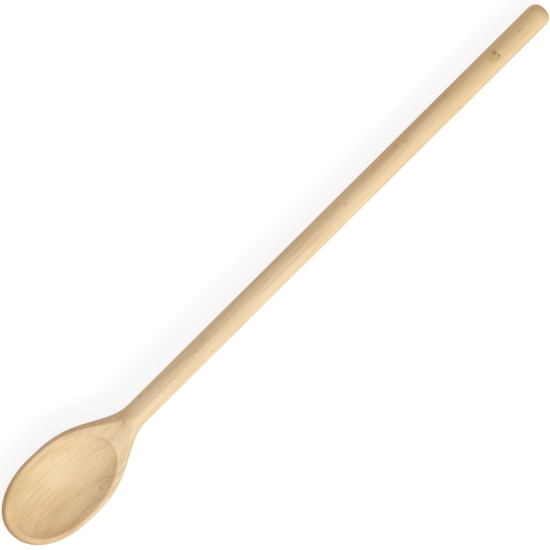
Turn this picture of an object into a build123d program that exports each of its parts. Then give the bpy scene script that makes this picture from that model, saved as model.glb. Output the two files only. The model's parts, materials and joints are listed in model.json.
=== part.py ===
from build123d import *
import math
import os

# Wooden cooking spoon, carved and turned from one stick of beech.
# Units are millimetres. The spoon is first drawn along its own handle axis,
# with X running from the bowl's tip to the handle's free end and Z up out of
# the hollow, and is then laid down on the plane Z = 0.

# Overall length and round handle with its domed free end
spoon_length = 600.0
handle_diameter = 20.0
handle_dome_length = 8.5
handle_dome_flat = 3.5

# Hollow, the lower cap of a rounded body whose middle lies above the facet
hollow_length = 101.5
hollow_width = 63.0
hollow_depth = 13.0
hollow_middle_rise = 5.0

# Wood left round the hollow, seen from above, and under it
rim_width_at_sides = 4.2
rim_width_at_tip = 6.8
neck_land_length = 31.6
bottom_wall = 5.6

# How far the bowl bends down from the handle axis, at its tip
bowl_drop = 6.5

# Facet planed on top, flat round the hollow, then sweeping up into the handle
facet_rise_at_tip = 4.8
facet_slope = 3.8
facet_end_before_neck = 7.0
facet_overrun = 6.0

# Edges rubbed round with sandpaper
rim_inner_round = 1.2
rim_outer_round = 1.5

# Where the bowl is widest and where the facet starts to sweep up, along the hollow
widest_share = 0.466
sweep_start_share = 0.77

# How blunt the bowl and its hollow are at the tip, where an ellipse has a power of 2, and
# how late the shoulder falls to the handle
ellipse_power = 2
tip_fullness_power = 2.13
hollow_fullness_power = 2.25
shoulder_fullness_power = 1.45

# Places of the outer sections, as shares of the tip half, the shoulder and beyond it, and
# of the hollow's sections, as shares of each of its halves
tip_section_shares = (0.02, 0.08, 0.2, 0.36, 0.55, 0.77)
shoulder_section_shares = (0.0, 0.12, 0.24, 0.36, 0.48, 0.6, 0.72, 0.84, 0.94, 1.0)
neck_section_shares = (0.04, 0.08, 0.12)
hollow_section_shares = (0.02, 0.08, 0.2, 0.38, 0.58, 0.8, 1.0)

# Number of places where the bowl's underside is tried as the one that it rests on
rest_search_steps = 400

# Degrees in a square corner
quarter_turn = 90

handle_radius = handle_diameter / 2
bowl_half_width = hollow_width / 2 + rim_width_at_sides
hollow_middle = rim_width_at_tip + hollow_length / 2
bowl_widest = rim_width_at_tip + widest_share * hollow_length
sweep_start = rim_width_at_tip + sweep_start_share * hollow_length
neck_start = rim_width_at_tip + hollow_length + neck_land_length
shoulder_length = neck_start - bowl_widest
loft_end = neck_start + neck_section_shares[-1] * shoulder_length
dome_start = spoon_length - handle_dome_length


def centre_height(x):
    """Height of the outer form's middle line, a parabola that leaves the handle axis at the neck."""
    return -bowl_drop * max(1 - x / neck_start, 0) ** 2


def facet_height(x):
    """Height of the facet's flat stretch over the handle axis, at x from the tip."""
    return centre_height(0) + facet_rise_at_tip + x * math.tan(math.radians(facet_slope))


facet_rise_at_middle = facet_height(hollow_middle) - centre_height(hollow_middle)
bowl_half_thickness = hollow_depth + bottom_wall - facet_rise_at_middle


def round_end(share, power):
    """Size of a rounded end at a share of the way from its point to its full size, which is 1.

    With a power of 2 it is a quarter of an ellipse, and with a greater one it is blunter.
    """
    return (1 - (1 - share) ** power) ** (1 / power)


def half_size(x, full):
    """Half width or half thickness of the outer form at x from the tip.

    From the tip to the widest place it is a rounded end. From there it falls to the
    handle's radius along half a wave of a cosine, held back by a power.
    """
    if x < bowl_widest:
        return full * round_end(x / bowl_widest, tip_fullness_power)
    fallen = min((x - bowl_widest) / shoulder_length, 1) ** shoulder_fullness_power
    return handle_radius + (full - handle_radius) * (1 + math.cos(math.pi * fallen)) / 2


def cross_section(x):
    """Elliptical outer section of the spoon at x from the tip."""
    plane = Plane(origin=(x, 0, centre_height(x)), x_dir=(0, 1, 0), z_dir=(1, 0, 0))
    return plane * Ellipse(half_size(x, bowl_half_width), half_size(x, bowl_half_thickness))


def make_outer_bowl():
    """Outer form from the tip to a little past the neck."""
    places = [share * bowl_widest for share in tip_section_shares]
    places += [bowl_widest + share * shoulder_length for share in shoulder_section_shares]
    places += [neck_start + share * shoulder_length for share in neck_section_shares]
    return loft([Vertex(0, 0, centre_height(0))] + [cross_section(x) for x in places])


def make_handle():
    """Round handle from the bowl's loft to its domed free end."""
    with BuildSketch(Plane.XZ) as profile:
        with BuildLine():
            Line((loft_end, 0), (loft_end, handle_radius))
            Line((loft_end, handle_radius), (dome_start, handle_radius))
            EllipticalCenterArc(
                (dome_start, handle_dome_flat / 2),
                handle_dome_length,
                handle_radius - handle_dome_flat / 2,
                start_angle=0,
                arc_size=quarter_turn,
            )
            Line((spoon_length, handle_dome_flat / 2), (spoon_length, 0))
            Line((spoon_length, 0), (loft_end, 0))
        make_face()
    return revolve(profile.sketch, axis=Axis.X)


def make_facet_cutter():
    """Block whose underside is the facet.

    The sweep is the arc that starts along the flat stretch and leaves the wood
    at the facet's end. It runs on past the wood by the overrun.
    """
    facet_end = neck_start - facet_end_before_neck
    run = facet_end - sweep_start
    wood_top = centre_height(facet_end) + half_size(facet_end, bowl_half_thickness)
    gain = wood_top - facet_height(sweep_start)
    start_angle = math.radians(facet_slope)
    end_angle = 2 * math.atan2(gain, run) - start_angle
    radius = run / (math.sin(end_angle) - math.sin(start_angle))
    full_gain = gain + facet_overrun
    full_turn = math.acos(math.cos(start_angle) - full_gain / radius) - start_angle
    top = facet_height(sweep_start) + full_gain + facet_overrun
    start = (-facet_overrun, facet_height(-facet_overrun))
    with BuildSketch(Plane.XZ) as profile:
        with BuildLine():
            flat = Line(start, (sweep_start, facet_height(sweep_start)))
            sweep = JernArc(flat @ 1, flat % 1, radius, math.degrees(full_turn))
            Line(sweep @ 1, ((sweep @ 1).X, top))
            Line(((sweep @ 1).X, top), (start[0], top))
            Line((start[0], top), start)
        make_face()
    return extrude(profile.sketch, amount=bowl_half_width + facet_overrun, both=True)


def make_hollow_half(side, power):
    """Sections of half the hollow's body, from its point to its middle.

    The side is 1 for the half towards the neck and -1 for the half towards the tip. The
    body is as long and as wide as gives its lower cap the hollow's sizes on the facet.
    """
    half_height = hollow_depth + hollow_middle_rise
    cap_share = hollow_depth / half_height
    half_width = hollow_width / 2 / round_end(cap_share, ellipse_power)
    half_length = hollow_length / 2 / round_end(cap_share, power)
    sections = [Vertex(side * half_length, 0, 0)]
    for share in hollow_section_shares:
        plane = Plane.YZ.offset(side * half_length * (1 - share))
        size = round_end(share, power)
        sections.append(plane * Ellipse(size * half_width, size * half_height))
    return sections


def make_hollow_cutter():
    """Body whose lower cap is the hollow, an ellipsoid towards the neck and blunter towards the tip."""
    to_tip = make_hollow_half(-1, hollow_fullness_power)
    to_neck = make_hollow_half(1, ellipse_power)
    on_facet = Pos(hollow_middle, 0, facet_height(hollow_middle)) * Rot(0, -facet_slope, 0)
    return on_facet * Pos(0, 0, hollow_middle_rise) * loft([*to_tip, *reversed(to_neck[:-1])])


def cut_and_round(body, cutter, radius):
    """Cut the body and rub round the curved edges that the cut leaves."""
    cut = body - cutter
    edges = new_edges(body, cutter, combined=cut).filter_by(GeomType.LINE, reverse=True)
    return cut.fillet(radius, edges)


def make_spoon():
    """The whole spoon along its handle axis, before it is laid down."""
    blank = make_outer_bowl() + make_handle()
    faceted = cut_and_round(blank, make_facet_cutter(), rim_outer_round)
    return cut_and_round(faceted, make_hollow_cutter(), rim_inner_round)


def rest_slope(x):
    """Slope of the line from the handle's underside, where its dome starts, to the bowl's at x."""
    underside = half_size(x, bowl_half_thickness) - centre_height(x)
    return (underside - handle_radius) / (dome_start - x)


def find_rest_place():
    """Place of the bowl's underside that touches first when the spoon is laid down."""
    places = [bowl_widest * step / rest_search_steps for step in range(rest_search_steps)]
    return max(places, key=rest_slope)


def lay_down(shape):
    """Tilt the spoon until bowl and handle end both touch Z = 0, and centre its box there."""
    lie_angle = math.degrees(math.atan(rest_slope(find_rest_place())))
    tilted = Rot(0, lie_angle, 0) * shape
    box = tilted.bounding_box()
    return Pos(-box.center().X, -box.center().Y, -box.min.Z) * tilted


spoon = lay_down(make_spoon())
spoon.label = "spoon"

os.makedirs("parts", exist_ok=True)
export_step(spoon, "parts/spoon.step")
print("spoon", "valid" if spoon.is_valid else "NOT VALID", "volume", round(spoon.volume))
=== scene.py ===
"""Looks of a long wooden cooking spoon: one carved stick of pale beech on a white studio floor."""

import json
import logging
import math
from dataclasses import dataclass
from enum import Enum

import bpy
import numpy as np
from mathutils import Matrix, Vector


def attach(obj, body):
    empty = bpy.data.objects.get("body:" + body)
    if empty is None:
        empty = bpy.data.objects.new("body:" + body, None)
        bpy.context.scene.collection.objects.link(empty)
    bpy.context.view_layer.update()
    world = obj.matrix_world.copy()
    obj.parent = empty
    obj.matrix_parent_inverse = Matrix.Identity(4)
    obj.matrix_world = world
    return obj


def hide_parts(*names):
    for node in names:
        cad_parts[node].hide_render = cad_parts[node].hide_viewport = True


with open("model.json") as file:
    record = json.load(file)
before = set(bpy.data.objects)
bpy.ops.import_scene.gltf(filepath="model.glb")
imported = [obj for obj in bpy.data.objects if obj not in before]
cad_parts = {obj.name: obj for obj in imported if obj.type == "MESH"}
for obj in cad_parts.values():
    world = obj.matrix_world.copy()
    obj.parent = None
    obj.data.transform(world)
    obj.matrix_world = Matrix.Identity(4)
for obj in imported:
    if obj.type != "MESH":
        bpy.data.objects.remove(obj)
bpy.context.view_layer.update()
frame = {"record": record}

MILLIMETRE = 0.001
SMALLEST = 1e-9
ELLIPSE_POWER = 2.0
WHITE = (1.0, 1.0, 1.0, 1.0)
STRAIGHT_UP = Vector((0.0, 0.0, 1.0))
NODE = "spoon"
SLOT = "beech_wood"
PIECE = "carved_spoon"
LOG = logging.getLogger(NODE)

Socket = bpy.types.NodeSocket
Grid = np.ndarray
Triple = tuple[float, float, float]
Colour = tuple[float, float, float, float]
Given = Socket | float | Triple | Colour


class SocketKind(Enum):
    """What a node group's socket carries."""

    VALUE = "NodeSocketFloat"
    VECTOR = "NodeSocketVector"


class Trace(Enum):
    """Mesh attributes that the finish reads, each from 0 to 1 at every point."""

    WORN_EDGE = "worn_edge"
    ENDGRAIN_AND_SHADE = "end_grain"


def lower_of(a: Grid, b: Grid, blend: float) -> Grid:
    """Lower of two heights, their crossing rubbed round where they differ by less than the blend."""
    # The square of what is left of the blend, over four blends, comes off the lower height.
    near = np.maximum(blend - np.abs(a - b), 0.0)
    return np.minimum(a, b) - near**2 / (4.0 * blend)


def round_end(share: Grid, power: float) -> Grid:
    """Size of a rounded end at a share of the way from its point to its full size, which is 1."""
    # One less what is left of the way, raised to the power, and then the power's root: a
    # quarter of an ellipse at a power of 2, and blunter above it.
    left = np.clip(1.0 - share, 0.0, 1.0)
    return (1.0 - left**power) ** (1.0 / power)


def nearness(a: Grid, b: Grid | float, reach: float) -> Grid:
    """Bell of 1 where two lengths are equal: e to minus the square of their gap over the reach."""
    return np.exp(-(((a - b) / reach) ** 2))


def outward_normals(skin: Grid) -> Grid:
    """Unit normals of a skin, each square to the lines through its neighbours both ways.

    Args:
        skin: Rows along the axis by columns round it, closed, by three.

    Returns:
        A grid of the same shape.
    """
    ring = np.concatenate([skin[:, -1:], skin, skin[:, :1]], axis=1)
    normal = np.cross(ring[:, 2:] - ring[:, :-2], np.gradient(skin, axis=0))
    return normal / np.maximum(np.linalg.norm(normal, axis=-1, keepdims=True), SMALLEST)


def in_scene(name: str, data: bpy.types.ID) -> bpy.types.Object:
    """Put a new object into the scene.

    Args:
        name: Its name.
        data: Its mesh, lamp or camera.

    Returns:
        The object, at the origin.
    """
    made = bpy.data.objects.new(name, data)
    bpy.context.scene.collection.objects.link(made)
    return made


@dataclass(frozen=True)
class SpoonForm:
    """Form of the spoon along its handle axis, in millimetres, with x from the bowl's tip.

    z runs up out of the hollow and y to the left, seen from the bowl. Every function
    takes and gives whole arrays.
    """

    length: float = 600.0
    handle_radius: float = 10.0
    dome_length: float = 8.5
    dome_flat_radius: float = 1.75
    hollow_length: float = 101.5
    hollow_width: float = 63.0
    hollow_depth: float = 13.0
    hollow_middle_rise: float = 5.0
    rim_at_sides: float = 4.2
    rim_at_tip: float = 6.8
    neck_land: float = 31.6
    bottom_wall: float = 5.6
    bowl_drop: float = 6.5
    facet_rise_at_tip: float = 4.8
    facet_slope: float = 3.8
    facet_end_before_neck: float = 7.0
    widest_share: float = 0.466
    sweep_start_share: float = 0.77
    tip_power: float = 2.13
    hollow_power: float = 2.25
    hollow_rounds: int = 8
    shoulder_power: float = 1.45
    outer_rounding: float = 0.6
    inner_rounding: float = 0.5

    @property
    def widest(self) -> float:
        """Place of the bowl's greatest width."""
        return self.rim_at_tip + self.widest_share * self.hollow_length

    @property
    def hollow_middle(self) -> float:
        """Place of the middle of the hollow."""
        return self.rim_at_tip + self.hollow_length / 2.0

    @property
    def neck(self) -> float:
        """Place where the round handle starts."""
        return self.rim_at_tip + self.hollow_length + self.neck_land

    @property
    def dome_start(self) -> float:
        """Place where the handle's end starts to round off."""
        return self.length - self.dome_length

    @property
    def half_width(self) -> float:
        """Greatest half width of the bowl."""
        return self.hollow_width / 2.0 + self.rim_at_sides

    @property
    def half_thickness(self) -> float:
        """Greatest half thickness of the bowl, before its top is planed off.

        It is the hollow's depth and the wall under it, less the facet's rise over the
        outer form's middle line at the hollow's middle.

        Returns:
            The half thickness.
        """
        middle = np.array(self.hollow_middle)
        rise = float(self.facet_line(middle) - self.centre(middle))
        return self.hollow_depth + self.bottom_wall - rise

    def centre(self, x: Grid) -> Grid:
        """Height of the outer form's middle line, a parabola that leaves the handle axis at the neck."""
        return -self.bowl_drop * np.clip(1.0 - x / self.neck, 0.0, None) ** 2

    def facet_line(self, x: Grid) -> Grid:
        """Height of the facet's straight stretch, running on at its slope."""
        at_tip = self.facet_rise_at_tip - self.bowl_drop
        return at_tip + x * math.tan(math.radians(self.facet_slope))

    def half_size(self, x: Grid, full: float) -> Grid:
        """Half width or half thickness of the outer form.

        A rounded end from the tip to the widest place, then half a cosine wave, held
        back by a power, down to the handle. The last stretch is a quarter of an ellipse
        from the handle's radius to the flat of its end.

        Args:
            x: Places along the axis.
            full: The half size at the widest place.

        Returns:
            The half size at each place.
        """
        tip = full * round_end(x / self.widest, self.tip_power)
        along = np.clip((x - self.widest) / (self.neck - self.widest), 0.0, 1.0)
        fallen = (1.0 + np.cos(np.pi * along**self.shoulder_power)) / 2.0
        shoulder = self.handle_radius + (full - self.handle_radius) * fallen
        in_dome = np.clip((x - self.dome_start) / self.dome_length, 0.0, 1.0)
        dome_height = self.handle_radius - self.dome_flat_radius
        dome_drop = dome_height * (1.0 - np.sqrt(1.0 - in_dome**2))
        return np.where(x < self.widest, tip, shoulder) - dome_drop

    def facet(self, x: Grid) -> Grid:
        """Height of the planed facet: a straight line, then the arc that sweeps up to the handle's top.

        The arc starts along the straight line and leaves the wood at the facet's end.

        Args:
            x: Places along the axis.

        Returns:
            The facet's height at each place, running on past the wood.
        """
        start = self.rim_at_tip + self.sweep_start_share * self.hollow_length
        end = self.neck - self.facet_end_before_neck
        start_height = float(self.facet_line(np.array(start)))
        gain = float(self.outer_top(np.array(end), np.array(0.0))) - start_height
        first = math.radians(self.facet_slope)
        last = 2.0 * math.atan2(gain, end - start) - first
        radius = (end - start) / (math.sin(last) - math.sin(first))
        turn_sine = np.clip(math.sin(first) + (x - start) / radius, -1.0, 1.0)
        arc = start_height + radius * (math.cos(first) - np.sqrt(1.0 - turn_sine**2))
        return np.where(x < start, self.facet_line(x), arc)

    def outer_top(self, x: Grid, y: Grid) -> Grid:
        """Height of the outer form's upper half, an ellipse across each place.

        Args:
            x: Places along the axis.
            y: Places across it, inside the outline.

        Returns:
            The height before facet and hollow are cut.
        """
        width = np.maximum(self.half_size(x, self.half_width), SMALLEST)
        thickness = self.half_size(x, self.half_thickness)
        return self.centre(x) + thickness * np.sqrt(np.clip(1.0 - (y / width) ** 2, 0.0, 1.0))

    def hollow(self, x: Grid, y: Grid) -> Grid:
        """Height of the hollow's surface, the lower half of a rounded body tilted with the facet.

        Its sections are ellipses that shrink to a point at both ends: as an ellipsoid's
        towards the neck, and by the hollow's own power towards the tip. Because of the
        tilt, the place along the body depends a little on the height, so the two are
        worked out from each other in a few rounds.

        Args:
            x: Places along the axis.
            y: Places across it.

        Returns:
            The surface's height, and far above the wood beyond the body.
        """
        half_height = self.hollow_depth + self.hollow_middle_rise
        cap = np.array(self.hollow_depth / half_height)
        cap_size = float(round_end(cap, ELLIPSE_POWER))
        half_width = self.hollow_width / 2.0 / cap_size
        to_neck = self.hollow_length / 2.0 / cap_size
        to_tip = self.hollow_length / 2.0 / float(round_end(cap, self.hollow_power))
        tilt = math.radians(self.facet_slope)
        cosine, sine = math.cos(tilt), math.sin(tilt)
        facet_middle = float(self.facet_line(np.array(self.hollow_middle)))
        middle_x = self.hollow_middle - self.hollow_middle_rise * sine
        middle_z = facet_middle + self.hollow_middle_rise * cosine
        reach = x - middle_x
        height, _ = np.broadcast_arrays(self.facet_line(x), y)
        for _ in range(self.hollow_rounds):
            along = reach * cosine + (height - middle_z) * sine
            size = np.where(
                along < 0.0,
                round_end(1.0 + along / to_tip, self.hollow_power),
                round_end(1.0 - along / to_neck, ELLIPSE_POWER),
            )
            inside = 1.0 - (y / np.maximum(half_width * size, SMALLEST)) ** 2
            up = -half_height * size * np.sqrt(np.clip(inside, 0.0, None))
            height = middle_z + (up + reach * sine) / cosine
        return np.where(inside > 0.0, height, self.length)

    def top(self, x: Grid, y: Grid) -> Grid:
        """Height of the spoon's upper surface: the lowest of outer form, facet and hollow."""
        planed = lower_of(self.outer_top(x, y), self.facet(x), self.outer_rounding)
        return lower_of(planed, self.hollow(x, y), self.inner_rounding)


@dataclass(frozen=True)
class EndgrainAndShade:
    """Where on the spoon end grain shows, and where painted shade is laid on in its dark colour, and how
    much. Lengths are in millimetres.
    """

    power: float = 1.5
    inwards: float = -0.02
    hollow_share: float = 0.5
    handle_end_share: float = 0.45
    bowl_side_shade_share: float = 0.38
    bowl_side_shade_fade: float = 45.0
    tip_grain_shade_share: float = 0.90
    tip_grain_shade_reach: float = 5.0
    left_band_shade_share: float = 1.1
    left_band_shade_inset: float = 2.4
    left_band_shade_reach: float = 1.8
    left_band_shade_middle: float = 18.0
    left_band_shade_length: float = 15.0

    def shown(self, form: SpoonForm, skin: Grid, upper: Grid) -> Grid:
        """How much end grain and painted shade show at each point.

        It grows with a power of the normal's part along the stick, less in the hollow,
        where the normal leans inwards, and on the handle's end. Painted shade is added as a
        share on the bowl's outer side, with the square of the normal's part outwards, end
        grain and painted shade as a bell round the tip, and painted shade as a band just
        inside the outline, left of the tip.

        Args:
            form: The spoon's form.
            skin: Rows by columns by three.
            upper: Which points lie over the form's middle line.

        Returns:
            From 0 to 1, in rows by columns.
        """
        x, y = skin[..., 0], skin[..., 1]
        normal = outward_normals(skin)
        outwards = normal[..., 1] * np.sign(y)
        cut_across = np.abs(normal[..., 0]) ** self.power
        cut_across *= np.where(outwards < self.inwards, self.hollow_share, 1.0)
        cut_across *= np.where(x > form.dome_start, self.handle_end_share, 1.0)
        # Painted shade: the bowl's outer sides darken as they turn outwards, fading out towards the neck.
        bowl = np.clip((form.neck - x) / self.bowl_side_shade_fade, 0.0, 1.0)
        side = self.bowl_side_shade_share * bowl * np.clip(outwards, 0.0, 1.0) ** 2
        # End grain and painted shade: a bell round the tip darkens the tip's rounded end.
        tip_grain_shade = self.tip_grain_shade_share * nearness(x, 0.0, self.tip_grain_shade_reach)
        # Painted shade: a dark band just inside the left outline, on the bowl's shaded side near the tip.
        inset = nearness(form.half_size(x, form.half_width) - y, self.left_band_shade_inset, self.left_band_shade_reach)
        left_band_shade = self.left_band_shade_share * inset * nearness(x, self.left_band_shade_middle, self.left_band_shade_length)
        return np.clip(cut_across + side + tip_grain_shade + np.where(upper, left_band_shade, 0.0), 0.0, 1.0)


@dataclass(frozen=True)
class HandSanding:
    """The slight unevenness that hand sanding leaves, in millimetres and radians per millimetre."""

    depth: float = 0.07
    waves: int = 7
    steepest_along: float = 0.06
    flattest_across: float = 0.05
    steepest_across: float = 0.28
    seed: int = 11

    def worn(self, skin: Grid) -> Grid:
        """The skin with its unevenness, always inwards.

        A few long sine waves in random directions are added up, scaled to lie between
        nothing and the depth, and taken off along the surface's normal.

        Args:
            skin: Rows by columns by three.

        Returns:
            The same grid, moved.
        """
        rng = np.random.default_rng(self.seed)
        along = rng.uniform(-self.steepest_along, self.steepest_along, self.waves)
        across = rng.uniform(self.flattest_across, self.steepest_across, (self.waves, 2))
        across = across * rng.choice([-1, 1], (self.waves, 2))
        directions = np.column_stack([along, across])
        start = rng.uniform(0.0, 2.0 * np.pi, self.waves)
        height = np.sin(skin @ directions.T + start).mean(axis=-1)
        height = (height - height.max()) / (height.max() - height.min())
        return skin + outward_normals(skin) * (height * self.depth)[..., None]


@dataclass(frozen=True)
class CarvedSpoon:
    """The spoon's body, a closed skin over stations along the axis and points round each.

    The reaches, in millimetres of height, say how broad the worn edges look.
    """

    form: SpoonForm
    end_grain: EndgrainAndShade = EndgrainAndShade()
    sanding: HandSanding = HandSanding()
    tip_stations: int = 128
    shoulder_stations: int = 184
    handle_stations: int = 120
    dome_stations: int = 14
    end_rings: int = 3
    points_over_top: int = 140
    points_under: int = 56
    outer_edge_reach: float = 1.2
    hollow_edge_reach: float = 1.5

    def stations(self) -> Grid:
        """Places along the axis, dense at the tip, over the bowl and round the dome.

        They follow the cosine of even turns up to the widest place and the sine of even
        turns over the dome, and are even in between.

        Returns:
            The places, from just behind the tip to the handle's end.
        """
        form = self.form
        tip_turn = np.linspace(0.0, np.pi / 2.0, self.tip_stations + 1)[1:]
        tip = form.widest * (1.0 - np.cos(tip_turn))
        shoulder = np.linspace(form.widest, form.neck, self.shoulder_stations + 1)[1:]
        handle = np.linspace(form.neck, form.dome_start, self.handle_stations + 1)[1:]
        dome_turn = np.linspace(0.0, np.pi / 2.0, self.dome_stations + 1)[1:]
        dome = form.dome_start + form.dome_length * np.sin(dome_turn)
        return np.concatenate([tip, shoulder, handle, dome])

    def skin(self) -> Grid:
        """Points of the skin, in rows along the axis and columns round it.

        Each row is an ellipse. Its upper half is brought down to the top surface, and
        its lower half is left. Rings that shrink on the flat close the handle's end.

        Returns:
            An array of rows by columns by three, in millimetres.
        """
        form = self.form
        x = self.stations()[:, None]
        over = np.linspace(0.0, np.pi, self.points_over_top + 1)
        under = np.linspace(np.pi, 2.0 * np.pi, self.points_under + 1)[1:-1]
        turn = np.concatenate([over, under])[None, :]
        y = form.half_size(x, form.half_width) * np.cos(turn)
        z = form.centre(x) + form.half_size(x, form.half_thickness) * np.sin(turn)
        z = np.where(turn <= np.pi, np.minimum(form.top(x, y), z), z)
        rows = np.stack([np.broadcast_to(x, y.shape), y, z], axis=-1)
        shrink = np.linspace(1.0, 0.0, self.end_rings + 2)[1:-1, None, None]
        flat = rows[-1:] * np.concatenate([np.ones_like(shrink), shrink, shrink], axis=-1)
        return self.sanding.worn(np.concatenate([rows, flat]))

    def traces(self, skin: Grid) -> dict[Trace, Grid]:
        """What the finish reads at each point: how worn its edge is, and how much end grain and painted shade
        show.

        The wear is the sum of two bells, one where the outer form meets the facet and
        one where the facet meets the hollow.

        Args:
            skin: Rows by columns by three.

        Returns:
            One array of rows by columns for each trace.
        """
        form = self.form
        x, y, z = skin[..., 0], skin[..., 1], skin[..., 2]
        facet = form.facet(x)
        upper = z > form.centre(x)
        outer_edge = nearness(form.outer_top(x, y), facet, self.outer_edge_reach)
        hollow_edge = nearness(facet, form.hollow(x, y), self.hollow_edge_reach)
        return {
            Trace.WORN_EDGE: np.clip(np.where(upper, outer_edge + hollow_edge, 0.0), 0.0, 1.0),
            Trace.ENDGRAIN_AND_SHADE: self.end_grain.shown(form, skin, upper),
        }

    @staticmethod
    def faces(rows: int, columns: int) -> tuple[Grid, Grid]:
        """Squares between the skin's rows, and a fan round each of the two poles that follow its points.

        Args:
            rows: Number of rows of the skin.
            columns: Number of its columns, which close to a ring.

        Returns:
            The faces' corners one after the other, and each face's number of corners.
        """
        here = np.arange(rows * columns).reshape(rows, columns)
        beside = np.roll(here, -1, axis=1)
        quads = np.stack([here[:-1], beside[:-1], beside[1:], here[1:]], axis=-1).reshape(-1, 4)
        tip_fan = np.stack([beside[0], here[0], np.full(columns, here.size)], axis=-1)
        end_fan = np.stack([here[-1], beside[-1], np.full(columns, here.size + 1)], axis=-1)
        corners = np.concatenate([quads.ravel(), tip_fan.ravel(), end_fan.ravel()])
        return corners, np.concatenate([np.full(len(quads), 4), np.full(2 * columns, 3)])

    def build(self, place: Matrix) -> bpy.types.Object:
        """Make the mesh in the row frame.

        Args:
            place: Turns and moves the spoon from its axis frame, in metres, into the row frame.

        Returns:
            The new object, at the origin.
        """
        skin = self.skin()
        poles = [skin[0].mean(axis=0, keepdims=True), skin[-1].mean(axis=0, keepdims=True)]
        points = np.concatenate([skin.reshape(-1, 3), *poles]) * MILLIMETRE
        points = points @ np.array(place.to_3x3()).T + np.array(place.translation)
        corners, sizes = self.faces(*skin.shape[:2])
        starts = np.concatenate([[0], np.cumsum(sizes)[:-1]])

        mesh = bpy.data.meshes.new(PIECE)
        mesh.vertices.add(len(points))
        mesh.vertices.foreach_set("co", points.astype(np.float32).ravel())
        mesh.loops.add(len(corners))
        mesh.loops.foreach_set("vertex_index", corners.astype(np.int32))
        mesh.polygons.add(len(sizes))
        mesh.polygons.foreach_set("loop_start", starts.astype(np.int32))
        mesh.polygons.foreach_set("use_smooth", np.ones(len(sizes), dtype=bool))
        mesh.update(calc_edges=True)
        for trace, values in self.traces(skin).items():
            at_poles = [values[0].mean(keepdims=True), values[-1].mean(keepdims=True)]
            at_points = np.concatenate([values.ravel(), *at_poles])
            attribute = mesh.attributes.new(trace.value, "FLOAT", "POINT")
            attribute.data.foreach_set("value", at_points.astype(np.float32))
        mesh.validate()
        return in_scene(PIECE, mesh)


@dataclass(frozen=True)
class Step:
    """A smooth step: a value that goes from low to high comes out going between the other two."""

    low: float
    high: Socket | float
    to_low: float = 0.0
    to_high: float = 1.0


class Wiring:
    """A node tree with short ways to add the nodes that the finishes use."""

    def __init__(self, tree: bpy.types.NodeTree) -> None:
        """Empty the tree and keep it, for nodes to be added."""
        self.tree = tree
        tree.nodes.clear()

    def node(self, kind: str, **settings: object) -> bpy.types.Node:
        """Add a node and set its properties.

        Args:
            kind: Blender's name of the node's type.
            settings: Property names and values.

        Returns:
            The new node.
        """
        made = self.tree.nodes.new(kind)
        for name, value in settings.items():
            setattr(made, name, value)
        return made

    def feed(self, socket: Socket, value: Given) -> None:
        """Link a socket to another one, or set its own value.

        Args:
            socket: An input.
            value: The output to link it to, or its value.
        """
        if isinstance(value, Socket):
            self.tree.links.new(value, socket)
        else:
            socket.default_value = value

    def fill(self, node: bpy.types.Node, *first: Given, **named: Given) -> bpy.types.Node:
        """Feed a node's inputs.

        Args:
            node: The node.
            first: Outputs or values for its first inputs, in their order.
            named: Outputs or values by the input's name, with underscores for spaces.

        Returns:
            The same node.
        """
        for socket, value in zip(node.inputs, first):
            self.feed(socket, value)
        for name, value in named.items():
            self.feed(node.inputs[name.replace("_", " ")], value)
        return node

    def add(self, kind: str, *first: Given, **named: Given) -> bpy.types.Node:
        """Add a node and feed its inputs."""
        return self.fill(self.node(kind), *first, **named)

    def math(self, operation: str, *values: Given, clamp: bool = False) -> Socket:
        """One math node on values or sockets."""
        made = self.node("ShaderNodeMath", operation=operation, use_clamp=clamp)
        return self.fill(made, *values).outputs["Value"]

    def vector(self, operation: str, *values: Given) -> Socket:
        """One vector math node, giving its vector."""
        made = self.node("ShaderNodeVectorMath", operation=operation)
        return self.fill(made, *values).outputs["Vector"]

    def measure(self, operation: str, *values: Given) -> Socket:
        """One vector math node, giving its number, as for a length or a dot product."""
        made = self.node("ShaderNodeVectorMath", operation=operation)
        return self.fill(made, *values).outputs["Value"]

    def noise(self, place: Given, scale: float, detail: float, roughness: float = 0.5) -> Socket:
        """Noise from 0 to 1 at a place."""
        made = self.add("ShaderNodeTexNoise", Vector=place, Scale=scale)
        return self.fill(made, Detail=detail, Roughness=roughness).outputs["Fac"]

    def ramp(self, value: Given, step: Step) -> Socket:
        """A smooth step of a value between two limits.

        Args:
            value: The value.
            step: Its limits and what comes out at each.

        Returns:
            The stepped value.
        """
        made = self.node("ShaderNodeMapRange", interpolation_type="SMOOTHSTEP")
        self.fill(made, Value=value, From_Min=step.low, From_Max=step.high)
        return self.fill(made, To_Min=step.to_low, To_Max=step.to_high).outputs["Result"]

    def blend(self, share: Given, first: Given, second: Given) -> Socket:
        """Mix two colours.

        Args:
            share: How much of the second colour there is, from 0 to 1.
            first: The colour at 0.
            second: The colour at 1.

        Returns:
            The mixed colour.
        """
        made = self.node("ShaderNodeMix", data_type="RGBA", blend_type="MIX", clamp_factor=True)
        self.feed(made.inputs[0], share)
        colours = [socket for socket in made.inputs if socket.type == "RGBA"]
        self.feed(colours[0], first)
        self.feed(colours[1], second)
        return next(socket for socket in made.outputs if socket.type == "RGBA")

    def tint(self, colour: Given, mask: Socket, strength: float, tone: Colour) -> Socket:
        """The colour with a tone mixed in where a mask is, as much as the strength says."""
        return self.blend(self.math("MULTIPLY", mask, strength), colour, tone)

    def painted(self, trace: Trace) -> Socket:
        """The value that a mesh attribute has at each point."""
        return self.node("ShaderNodeAttribute", attribute_name=trace.value).outputs["Fac"]

    def put(self, group: bpy.types.NodeTree, **values: Given) -> bpy.types.NodeOutputs:
        """Place a node group, feed its inputs and give its outputs."""
        return self.fill(self.node("ShaderNodeGroup", node_tree=group), **values).outputs


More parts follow.
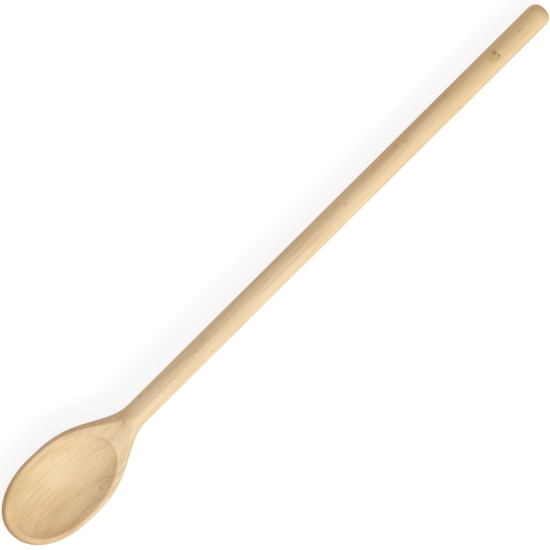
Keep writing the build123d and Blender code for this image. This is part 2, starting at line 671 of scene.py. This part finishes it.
class Effect(Wiring):
    """A shared shader effect, built as a node group with named inputs and outputs."""

    def __init__(self, name: str) -> None:
        """Make an empty group.

        Args:
            name: The group's name.
        """
        super().__init__(bpy.data.node_groups.new(name, "ShaderNodeTree"))
        self.entry = self.node("NodeGroupInput")
        self.exit = self.node("NodeGroupOutput")

    def takes(self, name: str, kind: SocketKind) -> Socket:
        """Add an input and give its socket inside the group."""
        self.tree.interface.new_socket(name, in_out="INPUT", socket_type=kind.value)
        return self.entry.outputs[name]

    def gives(self, name: str, value: Socket) -> None:
        """Add an output of one value, fed by a socket."""
        self.tree.interface.new_socket(name, in_out="OUTPUT", socket_type=SocketKind.VALUE.value)
        self.feed(self.exit.inputs[name], value)


@dataclass(frozen=True)
class GrowthRings:
    """Yearly rings of the tree, cut by the surface.

    The rings are nearly flat sheets square to a given direction, bent by slow noise.
    Within each ring the wood darkens late in the year and then starts pale again, and
    every year has its own strength. One dark year is drawn as a line of its own.
    """

    bend: Triple = (5.0, 34.0, 34.0)
    bend_detail: float = 3.0
    bands_per_metre: float = 110.0
    band_shift: float = 0.012
    late_power: float = 4.0
    early: Step = Step(0.0, 0.12, 1.0, 0.0)
    early_share: float = 0.6
    least_strength: float = 0.2
    dark_line: Step = Step(0.0, 0.0009, 1.0, 0.0)

    def group(self) -> bpy.types.NodeTree:
        """Build the effect.

        The depth is the place measured across the sheets, moved by slow noise. Divided
        by the ring's width it counts the years, and what is left of a year is its season.

        Returns:
            The node group, which gives the rings' lines, broad bands and the dark year's line.
        """
        effect = Effect("growth_rings")
        place = effect.takes("Place", SocketKind.VECTOR)
        across = effect.takes("Across", SocketKind.VECTOR)
        width = effect.takes("Ring Width", SocketKind.VALUE)
        waver = effect.takes("Waver", SocketKind.VALUE)
        dark_year = effect.takes("Dark Year", SocketKind.VALUE)
        slow = effect.noise(effect.vector("MULTIPLY", place, self.bend), 1.0, self.bend_detail)
        drift = effect.math("SUBTRACT", slow, 0.5)
        depth = effect.math("MULTIPLY_ADD", drift, waver, effect.measure("DOT_PRODUCT", place, across))
        bands = effect.node("ShaderNodeTexNoise", noise_dimensions="1D")
        band = effect.fill(bands, W=depth, Scale=self.bands_per_metre).outputs["Fac"]
        shift = effect.math("SUBTRACT", band, 0.5)
        years = effect.math("DIVIDE", effect.math("MULTIPLY_ADD", shift, self.band_shift, depth), width)
        season = effect.math("FRACT", years)
        late = effect.math("POWER", season, self.late_power)
        early = effect.math("MULTIPLY", effect.ramp(season, self.early), self.early_share)
        dice = effect.node("ShaderNodeTexWhiteNoise", noise_dimensions="1D")
        year = effect.fill(dice, W=effect.math("FLOOR", years)).outputs["Value"]
        strength = effect.math("MULTIPLY_ADD", year, 1.0 - self.least_strength, self.least_strength)
        away = effect.math("ABSOLUTE", effect.math("SUBTRACT", depth, dark_year))
        effect.gives("Line", effect.math("MULTIPLY", effect.math("MAXIMUM", late, early), strength))
        effect.gives("Band", band)
        effect.gives("Dark Line", effect.ramp(away, self.dark_line))
        return effect.tree


@dataclass(frozen=True)
class Fibres:
    """Fibres along the stick: noise drawn out many times as long as it is wide."""

    detail: float = 4.0
    roughness: float = 0.6

    def group(self) -> bpy.types.NodeTree:
        """Build the effect.

        Returns:
            The node group, which gives the streaks.
        """
        effect = Effect("fibres")
        place = effect.takes("Place", SocketKind.VECTOR)
        width = effect.takes("Width", SocketKind.VALUE)
        slimness = effect.takes("Slimness", SocketKind.VALUE)
        along = effect.math("DIVIDE", 1.0, effect.math("MULTIPLY", width, slimness))
        across = effect.math("DIVIDE", 1.0, width)
        shrunk = effect.add("ShaderNodeCombineXYZ", X=along, Y=across, Z=across)
        stretched = effect.vector("MULTIPLY", place, shrunk.outputs["Vector"])
        effect.gives("Streak", effect.noise(stretched, 1.0, self.detail, self.roughness))
        return effect.tree


@dataclass(frozen=True)
class Flecks:
    """Short dark dashes along the grain, the cut vessels and rays of beech.

    Long thin cells, one dash in each. A share of the cells stays empty, and a dash is
    dark in the middle of its cell.
    """

    palest: float = 0.3

    def group(self) -> bpy.types.NodeTree:
        """Build the effect.

        Returns:
            The node group, which gives the dashes.
        """
        effect = Effect("flecks")
        place = effect.takes("Place", SocketKind.VECTOR)
        size = effect.takes("Cell Size", SocketKind.VECTOR)
        share = effect.takes("Share", SocketKind.VALUE)
        thin = effect.takes("Thinness", SocketKind.VALUE)
        voronoi = effect.node("ShaderNodeTexVoronoi", feature="F1")
        cells = effect.fill(voronoi, Vector=effect.vector("DIVIDE", place, size), Scale=1.0).outputs
        dark = effect.math("SUBTRACT", 1.0, effect.ramp(cells["Distance"], Step(0.0, thin)))
        picked = effect.add("ShaderNodeSeparateColor", Color=cells["Color"]).outputs
        kept = effect.math("LESS_THAN", picked["Red"], share)
        toned = effect.math("MULTIPLY_ADD", picked["Green"], 1.0 - self.palest, self.palest)
        effect.gives("Fleck", effect.math("MULTIPLY", effect.math("MULTIPLY", dark, kept), toned))
        return effect.tree


@dataclass(frozen=True)
class PinKnot:
    """One spot, such as a pin knot or a patch of other colour, soft at its edge and ragged if wanted."""

    tears_per_metre: float = 900.0
    tear_detail: float = 2.0
    edge: Step = Step(0.25, 1.0, 1.0, 0.0)

    def group(self) -> bpy.types.NodeTree:
        """Build the effect.

        The distance from the spot's centre, in its own half sizes, is made uneven by
        noise and then steps down over the edge.

        Returns:
            The node group, which gives the spot.
        """
        effect = Effect("pin_knot")
        place = effect.takes("Place", SocketKind.VECTOR)
        centre = effect.takes("Centre", SocketKind.VECTOR)
        size = effect.takes("Size", SocketKind.VECTOR)
        ragged = effect.takes("Raggedness", SocketKind.VALUE)
        reach = effect.vector("DIVIDE", effect.vector("SUBTRACT", place, centre), size)
        uneven = effect.math("SUBTRACT", effect.noise(place, self.tears_per_metre, self.tear_detail), 0.5)
        torn = effect.math("MULTIPLY_ADD", uneven, ragged, effect.measure("LENGTH", reach))
        effect.gives("Spot", effect.ramp(torn, self.edge))
        return effect.tree


class Mark(Enum):
    """What a spot on the spoon is: a knot or stain, a paler or browner patch of the wood, or a patch of
    painted light or painted shade.
    """

    KNOT_AND_PAINTED_SHADE = "knot"
    STAIN = "stain"
    PALE_AND_PAINTED_LIGHT = "pale"
    TAN_AND_PAINTED_SHADE = "tan"


@dataclass(frozen=True)
class Spot:
    """A spot on the top of the spoon, in millimetres.

    Its centre lies so far along from the tip and so far left of the axis. Long and wide
    are its half sizes, and strength is how much of the mark's colour it takes.
    """

    along: float
    left: float
    long: float
    wide: float
    strength: float
    mark: Mark = Mark.KNOT_AND_PAINTED_SHADE


SPOTS = (
    Spot(542.6, 2.6, 6.5, 4.6, 0.55, Mark.STAIN),
    Spot(546.4, 6.4, 4.0, 3.4, 0.45, Mark.STAIN),
    Spot(545.8, 5.3, 2.7, 2.3, 0.72),
    Spot(547.2, 1.5, 1.5, 2.4, 0.85),
    Spot(544.6, 0.2, 2.4, 0.9, 0.60),
    Spot(572.8, 4.2, 3.0, 1.1, 0.40),
    Spot(593.0, 7.4, 2.4, 1.3, 0.35),
    Spot(496.6, -8.4, 2.4, 1.6, 0.40),
    Spot(494.2, 8.1, 2.8, 1.2, 0.30),
    Spot(446.5, 4.7, 2.6, 1.0, 0.40),
    Spot(437.8, 7.2, 2.4, 1.2, 0.30),
    Spot(376.4, 3.8, 2.6, 1.0, 0.40),
    Spot(289.3, 4.6, 3.0, 1.0, 0.32),
    Spot(218.5, -5.4, 2.4, 1.0, 0.38),
    Spot(219.0, 7.0, 2.2, 1.2, 0.32),
    Spot(209.2, 3.8, 2.4, 0.9, 0.32),
    Spot(171.1, -9.6, 2.2, 1.4, 0.32),
    Spot(168.6, 4.2, 2.4, 1.0, 0.34),
    Spot(151.6, 9.1, 2.8, 1.2, 0.34),
    Spot(128.4, 4.5, 2.2, 1.7, 0.70),
    Spot(126.8, 3.6, 4.5, 3.0, 0.35, Mark.STAIN),
    Spot(112.1, 2.1, 3.6, 2.6, 0.35, Mark.TAN_AND_PAINTED_SHADE),
    # Painted shade: a soft knot-coloured patch on the neck's shaded left side.
    Spot(131.0, 8.0, 7.5, 4.2, 0.16),
    Spot(77.2, -23.2, 2.2, 4.2, 0.38),
    # Partly the wood's paler streak, partly painted light: a paler zone in the middle of the hollow.
    Spot(64.0, 5.0, 26.0, 13.0, 0.60, Mark.PALE_AND_PAINTED_LIGHT),
    Spot(29.0, 24.0, 26.0, 11.0, 0.55, Mark.TAN_AND_PAINTED_SHADE),
    Spot(19.0, 8.0, 11.0, 22.0, 0.30, Mark.TAN_AND_PAINTED_SHADE),
    # Painted shade: a tan patch on the neck's shaded left side.
    Spot(130.0, 6.5, 16.0, 6.5, 0.30, Mark.TAN_AND_PAINTED_SHADE),
    # Painted shade: deepens the shadowed right wall of the hollow near the neck end.
    Spot(84.0, -20.5, 11.0, 8.5, 0.28, Mark.TAN_AND_PAINTED_SHADE),
    # Painted shade: darkens the band along the bowl's left, shaded side.
    Spot(62.0, 29.0, 24.0, 4.0, 0.42, Mark.TAN_AND_PAINTED_SHADE),
    Spot(46.0, -20.0, 24.0, 10.0, 0.30, Mark.PALE_AND_PAINTED_LIGHT),
    # Painted light: lifts the band along the bowl's right outer side.
    Spot(58.0, -33.0, 28.0, 5.5, 0.55, Mark.PALE_AND_PAINTED_LIGHT),
    # Painted light: lifts the shaded right wall of the hollow.
    Spot(54.0, -24.5, 24.0, 4.5, 0.36, Mark.PALE_AND_PAINTED_LIGHT),
    Spot(106.0, -7.0, 13.0, 7.0, 0.50, Mark.PALE_AND_PAINTED_LIGHT),
    Spot(38.0, -13.0, 16.0, 5.0, 0.34, Mark.TAN_AND_PAINTED_SHADE),
    Spot(92.0, 28.5, 13.0, 4.0, 0.40, Mark.TAN_AND_PAINTED_SHADE),
)


@dataclass(frozen=True)
class BeechFinish:
    """Pale beech, sanded smooth and bare. Colours are linear, sizes in metres, angles in degrees.

    The shares say how much of its colour each trait adds. The flecks lie in cells, and
    the kept part of the cells holds one.
    """

    # Also the tone of the pale patches, some of them painted light.
    pale: Colour = (0.97, 0.77, 0.50, 1.0)
    warm: Colour = (0.90, 0.65, 0.36, 1.0)
    late_wood: Colour = (0.62, 0.41, 0.21, 1.0)
    fleck: Colour = (0.46, 0.27, 0.12, 1.0)
    endgrain_and_shade_tone: Colour = (0.62, 0.36, 0.15, 1.0)
    # Also the colour of one soft patch of painted shade at the neck.
    knot: Colour = (0.42, 0.20, 0.06, 1.0)
    stain: Colour = (0.66, 0.43, 0.13, 1.0)
    # Tone of the tan patches, some of them painted shade.
    tan: Colour = (0.66, 0.47, 0.24, 1.0)
    worn: Colour = (0.95, 0.72, 0.41, 1.0)
    ring_lean: float = 35.0
    ring_width: float = 0.0023
    ring_waver: float = 0.0045
    ring_share: float = 0.36
    dark_year: float = 0.0073
    dark_year_share: float = 0.40
    band: Step = Step(0.35, 0.70, 0.0, 0.10)
    warm_to_tip: Step = Step(-0.228, -0.266, 0.0, 0.90)
    warm_to_end: Step = Step(-0.10, 0.30, 0.0, 0.75)
    patch_stretch: Triple = (16.0, 58.0, 58.0)
    patch_detail: float = 2.0
    warm_patch: Step = Step(0.42, 0.64, 0.0, 0.50)
    fine_width: float = 0.0005
    fine_slimness: float = 36.0
    fine_streak: Step = Step(0.44, 0.78, 0.0, 0.28)
    broad_width: float = 0.0028
    broad_slimness: float = 24.0
    broad_streak: Step = Step(0.42, 0.72, 0.0, 0.36)
    small_cell: Triple = (0.0042, 0.0007, 0.0007)
    small_kept: float = 0.45
    small_thinness: float = 0.32
    small_share: float = 0.42
    large_cell: Triple = (0.010, 0.0022, 0.0022)
    large_kept: float = 0.25
    large_thinness: float = 0.22
    large_share: float = 0.38
    worn_share: float = 0.30
    endgrain_and_shade_share: float = 0.72
    roughness: Step = Step(0.3, 0.8, 0.53, 0.68)
    gloss: float = 0.35
    fleck_height: float = -1.2
    relief_strength: float = 0.25
    relief_height: float = 0.00008
    knot_raggedness: float = 0.6
    patch_raggedness: float = 0.1
    spots: tuple[Spot, ...] = SPOTS

    def dress(self, piece: bpy.types.Object, form: SpoonForm, place: Matrix) -> None:
        """Give a piece the finish: ground, fibres, flecks, edges, end grain with painted shade, and then
        spots, among them patches of painted light and painted shade.

        Args:
            piece: The spoon's mesh object.
            form: Its form, for the height of the spots.
            place: Takes the form's frame, in metres, to the row frame.
        """
        material = bpy.data.materials.new(SLOT)
        material.use_nodes = True
        wiring = Wiring(material.node_tree)
        where = wiring.node("ShaderNodeTexCoord").outputs["Object"]
        fibre = Fibres().group()
        fine = wiring.put(fibre, Place=where, Width=self.fine_width, Slimness=self.fine_slimness)["Streak"]
        broad = wiring.put(fibre, Place=where, Width=self.broad_width, Slimness=self.broad_slimness)["Streak"]
        fleck = Flecks().group()
        small = wiring.put(
            fleck, Place=where, Cell_Size=self.small_cell, Share=self.small_kept, Thinness=self.small_thinness
        )["Fleck"]
        large = wiring.put(
            fleck, Place=where, Cell_Size=self.large_cell, Share=self.large_kept, Thinness=self.large_thinness
        )["Fleck"]

        colour = self.ground(wiring, where)
        colour = wiring.blend(wiring.ramp(broad, self.broad_streak), colour, self.late_wood)
        colour = wiring.blend(wiring.ramp(fine, self.fine_streak), colour, self.late_wood)
        colour = wiring.tint(colour, small, self.small_share, self.fleck)
        colour = wiring.tint(colour, large, self.large_share, self.fleck)
        colour = wiring.tint(colour, wiring.painted(Trace.WORN_EDGE), self.worn_share, self.worn)
        # End grain, and painted shade on the bowl's outer sides, round the tip and in a band inside the left
        # outline, all in the end wood's dark colour.
        colour = wiring.tint(colour, wiring.painted(Trace.ENDGRAIN_AND_SHADE), self.endgrain_and_shade_share, self.endgrain_and_shade_tone)
        colour = self.spotted(wiring, where, colour, form, place)

        relief = wiring.math("MULTIPLY_ADD", small, self.fleck_height, fine)
        bump = wiring.add("ShaderNodeBump", Height=relief)
        wiring.fill(bump, Strength=self.relief_strength, Distance=self.relief_height)
        wood = wiring.add("ShaderNodeBsdfPrincipled", Base_Color=colour, Normal=bump.outputs["Normal"])
        wiring.fill(wood, Roughness=wiring.ramp(fine, self.roughness), Specular_IOR_Level=self.gloss)
        wiring.add("ShaderNodeOutputMaterial", Surface=wood.outputs["BSDF"])
        piece.data.materials.append(material)

    def ground(self, wiring: Wiring, where: Socket) -> Socket:
        """The plain wood: pale, warmer in patches and towards both ends, with its yearly rings.

        Args:
            wiring: The material's nodes.
            where: Object coordinates.

        Returns:
            The colour.
        """
        along = wiring.add("ShaderNodeSeparateXYZ", Vector=where).outputs["X"]
        towards_tip = wiring.ramp(along, self.warm_to_tip)
        towards_end = wiring.ramp(along, self.warm_to_end)
        slow = wiring.noise(wiring.vector("MULTIPLY", where, self.patch_stretch), 1.0, self.patch_detail)
        patch = wiring.ramp(slow, self.warm_patch)
        ends = wiring.math("MAXIMUM", towards_tip, towards_end)
        colour = wiring.blend(wiring.math("ADD", ends, patch, clamp=True), self.pale, self.warm)
        lean = math.radians(self.ring_lean)
        rings = wiring.put(
            GrowthRings().group(),
            Place=where,
            Across=(0.0, -math.cos(lean), -math.sin(lean)),
            Ring_Width=self.ring_width,
            Waver=self.ring_waver,
            Dark_Year=self.dark_year,
        )
        colour = wiring.blend(wiring.ramp(rings["Band"], self.band), colour, self.late_wood)
        colour = wiring.tint(colour, rings["Line"], self.ring_share, self.late_wood)
        return wiring.tint(colour, rings["Dark Line"], self.dark_year_share, self.late_wood)

    def spotted(
        self, wiring: Wiring, where: Socket, colour: Socket, form: SpoonForm, place: Matrix
    ) -> Socket:
        """The colour with the pin knots, stains and paler or browner patches on it; some of the patches are
        painted light and painted shade.

        Args:
            wiring: The material's nodes.
            where: Object coordinates.
            colour: The wood's colour so far.
            form: The spoon's form.
            place: Takes the form's frame, in metres, to the row frame.

        Returns:
            The spotted colour.
        """
        group = PinKnot().group()
        # The pale and tan colours serve both the wood's own patches and patches of painted light and painted
        # shade; the knot colour also serves one patch of painted shade.
        looks = {
            Mark.KNOT_AND_PAINTED_SHADE: (self.knot, self.knot_raggedness),
            Mark.STAIN: (self.stain, self.knot_raggedness),
            Mark.PALE_AND_PAINTED_LIGHT: (self.pale, self.patch_raggedness),
            Mark.TAN_AND_PAINTED_SHADE: (self.tan, self.patch_raggedness),
        }
        for spot in self.spots:
            tone, ragged = looks[spot.mark]
            height = float(form.top(np.array(spot.along), np.array(spot.left)))
            centre = place @ (Vector((spot.along, spot.left, height)) * MILLIMETRE)
            size = Vector((spot.long, spot.wide, spot.long)) * MILLIMETRE
            mark = wiring.put(group, Place=where, Centre=tuple(centre), Size=tuple(size), Raggedness=ragged)
            colour = wiring.tint(colour, mark["Spot"], spot.strength, tone)
        return colour


@dataclass(frozen=True)
class PhotoView:
    """The reference picture's camera, from the pixels of both ends of the spoon's axis."""

    image_side: float = 550.0
    tip_pixel: tuple[float, float] = (12.7, 536.8)
    end_pixel: tuple[float, float] = (544.45, 8.85)
    lens: float = 300.0
    sensor: float = 36.0
    lean_to_left: float = 13.0
    nearest: float = 0.05
    farthest: float = 60.0

    def aim(self, tip: Vector, end: Vector) -> None:
        """Make the camera that puts both ends of the axis on their pixels.

        The camera looks straight down on the axis, leaning a little to the spoon's left.
        Its distance is the lens over the sensor, times the picture's side in metres.

        Args:
            tip: The bowl's tip on the axis, in the row frame.
            end: The handle's end on the axis.
        """
        across_px = self.end_pixel[0] - self.tip_pixel[0]
        up_px = self.tip_pixel[1] - self.end_pixel[1]
        per_metre = math.hypot(across_px, up_px) / (end - tip).length
        slant = math.atan2(up_px, across_px)
        axis = (end - tip).normalized()
        left = STRAIGHT_UP.cross(axis).normalized()
        upright = axis.cross(left)
        lean = math.radians(self.lean_to_left)
        back = upright * math.cos(lean) + left * math.sin(lean)
        aside = left * math.cos(lean) - upright * math.sin(lean)
        right = axis * math.cos(slant) - aside * math.sin(slant)
        up = axis * math.sin(slant) + aside * math.cos(slant)
        half = self.image_side / 2.0
        to_right = half - (self.tip_pixel[0] + self.end_pixel[0]) / 2.0
        to_top = (self.tip_pixel[1] + self.end_pixel[1]) / 2.0 - half
        target = (tip + end) / 2.0 + (right * to_right + up * to_top) / per_metre
        distance = self.lens / self.sensor * self.image_side / per_metre
        data = bpy.data.cameras.new("photo_camera")
        data.lens, data.sensor_width = self.lens, self.sensor
        data.clip_start, data.clip_end = self.nearest, self.farthest
        camera = in_scene("photo_camera", data)
        turn = Matrix((right, up, back)).transposed().to_4x4()
        camera.matrix_world = Matrix.Translation(target + back * distance) @ turn
        bpy.context.scene.camera = camera


@dataclass(frozen=True)
class Softbox:
    """A square studio lamp. Angles are in degrees, and light is what a white surface facing it shows."""

    name: str
    bearing: float
    height: float
    distance: float
    side: float
    light: float
    tint: Triple

    def hang(self) -> None:
        """Hang the lamp, pointed at the middle of the spoon.

        Its energy is the light times the square of pi times the distance.
        """
        turn, rise = math.radians(self.bearing), math.radians(self.height)
        level = Vector((math.cos(turn), math.sin(turn), 0.0)) * math.cos(rise)
        towards = level + STRAIGHT_UP * math.sin(rise)
        data = bpy.data.lights.new(self.name, "AREA")
        data.shape, data.size, data.color = "SQUARE", self.side, self.tint
        data.energy = self.light * (math.pi * self.distance) ** 2
        lamp = in_scene(self.name, data)
        lamp.location = towards * self.distance
        lamp.rotation_mode = "QUATERNION"
        lamp.rotation_quaternion = towards.to_track_quat("Z", "Y")


@dataclass(frozen=True)
class Studio:
    """White floor, one soft lamp and an even white room."""

    floor_side: float = 14.0
    floor_white: Colour = (0.52, 0.52, 0.52, 1.0)
    floor_white_seen: Colour = (0.20, 0.20, 0.20, 1.0)
    floor_lift: float = 0.84
    room_light: float = 0.632
    room_tint: Colour = (1.0, 0.92, 0.91, 1.0)
    key: Softbox = Softbox(
        "key", bearing=-92.0, height=45.0, distance=2.4, side=0.6, light=0.446, tint=(0.826, 0.98, 1.0)
    )

    def build(self) -> None:
        """Make floor, lamp and room light."""
        self.floor()
        self.key.hang()
        self.room()

    def floor(self) -> None:
        """A level floor that keeps the spoon's shadow and shows white to the camera.

        Seen from below it is clear, so that the spoon's underside can be looked at.
        """
        corners = np.array([[-1, -1, 0], [1, -1, 0], [1, 1, 0], [-1, 1, 0]]) * self.floor_side / 2.0
        mesh = bpy.data.meshes.new("floor")
        mesh.from_pydata(corners.tolist(), [], [(0, 1, 2, 3)])
        floor = in_scene("floor", mesh)
        material = bpy.data.materials.new("floor_white")
        material.use_nodes = True
        wiring = Wiring(material.node_tree)
        seen = self.looked_at(wiring)
        white = wiring.blend(seen, self.floor_white, self.floor_white_seen)
        paper = wiring.add("ShaderNodeBsdfDiffuse", Color=white).outputs["BSDF"]
        lift = wiring.math("MULTIPLY", seen, self.floor_lift)
        glow = wiring.add("ShaderNodeEmission", Strength=lift).outputs["Emission"]
        lit = wiring.add("ShaderNodeAddShader", paper, glow).outputs["Shader"]
        behind = wiring.node("ShaderNodeNewGeometry").outputs["Backfacing"]
        clear = wiring.node("ShaderNodeBsdfTransparent").outputs["BSDF"]
        side = wiring.add("ShaderNodeMixShader", behind, lit, clear).outputs["Shader"]
        wiring.add("ShaderNodeOutputMaterial", Surface=side)
        mesh.materials.append(material)

    @staticmethod
    def looked_at(wiring: Wiring) -> Socket:
        """1 for what the camera sees, directly, in a gloss or through glass, and 0 for light on the object.

        Args:
            wiring: The nodes of the floor or the room.

        Returns:
            The socket that says so.
        """
        rays = wiring.node("ShaderNodeLightPath").outputs
        sharp = wiring.math("MAXIMUM", rays["Is Camera Ray"], rays["Is Glossy Ray"])
        return wiring.math("MAXIMUM", sharp, rays["Is Transmission Ray"])

    def room(self) -> None:
        """Even light from all round, and plain white to the camera."""
        world = bpy.data.worlds.new("white_room")
        bpy.context.scene.world = world
        world.use_nodes = True
        wiring = Wiring(world.node_tree)
        seen = self.looked_at(wiring)
        tint = wiring.blend(seen, self.room_tint, WHITE)
        strength = wiring.math("MULTIPLY_ADD", seen, 1.0 - self.room_light, self.room_light)
        sky = wiring.add("ShaderNodeBackground", Color=tint, Strength=strength).outputs["Background"]
        wiring.add("ShaderNodeOutputWorld", Surface=sky)


def axis_frame(record: dict, form: SpoonForm) -> Matrix:
    """Where the spoon's own axis frame lies in the row frame.

    Args:
        record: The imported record, whose handle mount is a pin that ends where the dome starts.
        form: The spoon's form.

    Returns:
        A matrix from the axis frame, in metres with x from the tip, to the row frame.
    """
    handle = next(mount for mount in record["mounts"] if mount["name"] == "handle")
    axis = Vector(handle["axis"]).normalized()
    left = STRAIGHT_UP.cross(axis).normalized()
    upright = axis.cross(left)
    from_tip = (form.dome_start - handle["dims"]["length_mm"] / 2.0) * MILLIMETRE
    tip = Vector(handle["pos_m"]) - axis * from_tip
    turn = Matrix((axis, left, upright)).transposed().to_4x4()
    return Matrix.Translation(tip) @ turn


def main() -> None:
    """Build the spoon, its finish, the studio and the camera, and report each piece."""
    logging.basicConfig(level=logging.INFO, format="%(name)s: %(message)s")
    bpy.context.scene.view_settings.view_transform = "Standard"
    form = SpoonForm()
    place = axis_frame(frame["record"], form)
    PhotoView().aim(place.translation, place @ Vector((form.length * MILLIMETRE, 0.0, 0.0)))
    Studio().build()
    spoon = CarvedSpoon(form).build(place)
    BeechFinish().dress(spoon, form, place)
    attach(spoon, "root")
    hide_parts(NODE)
    LOG.info("%s: %d points, %d faces", spoon.name, len(spoon.data.vertices), len(spoon.data.polygons))


if __name__ == "__main__":
    main()
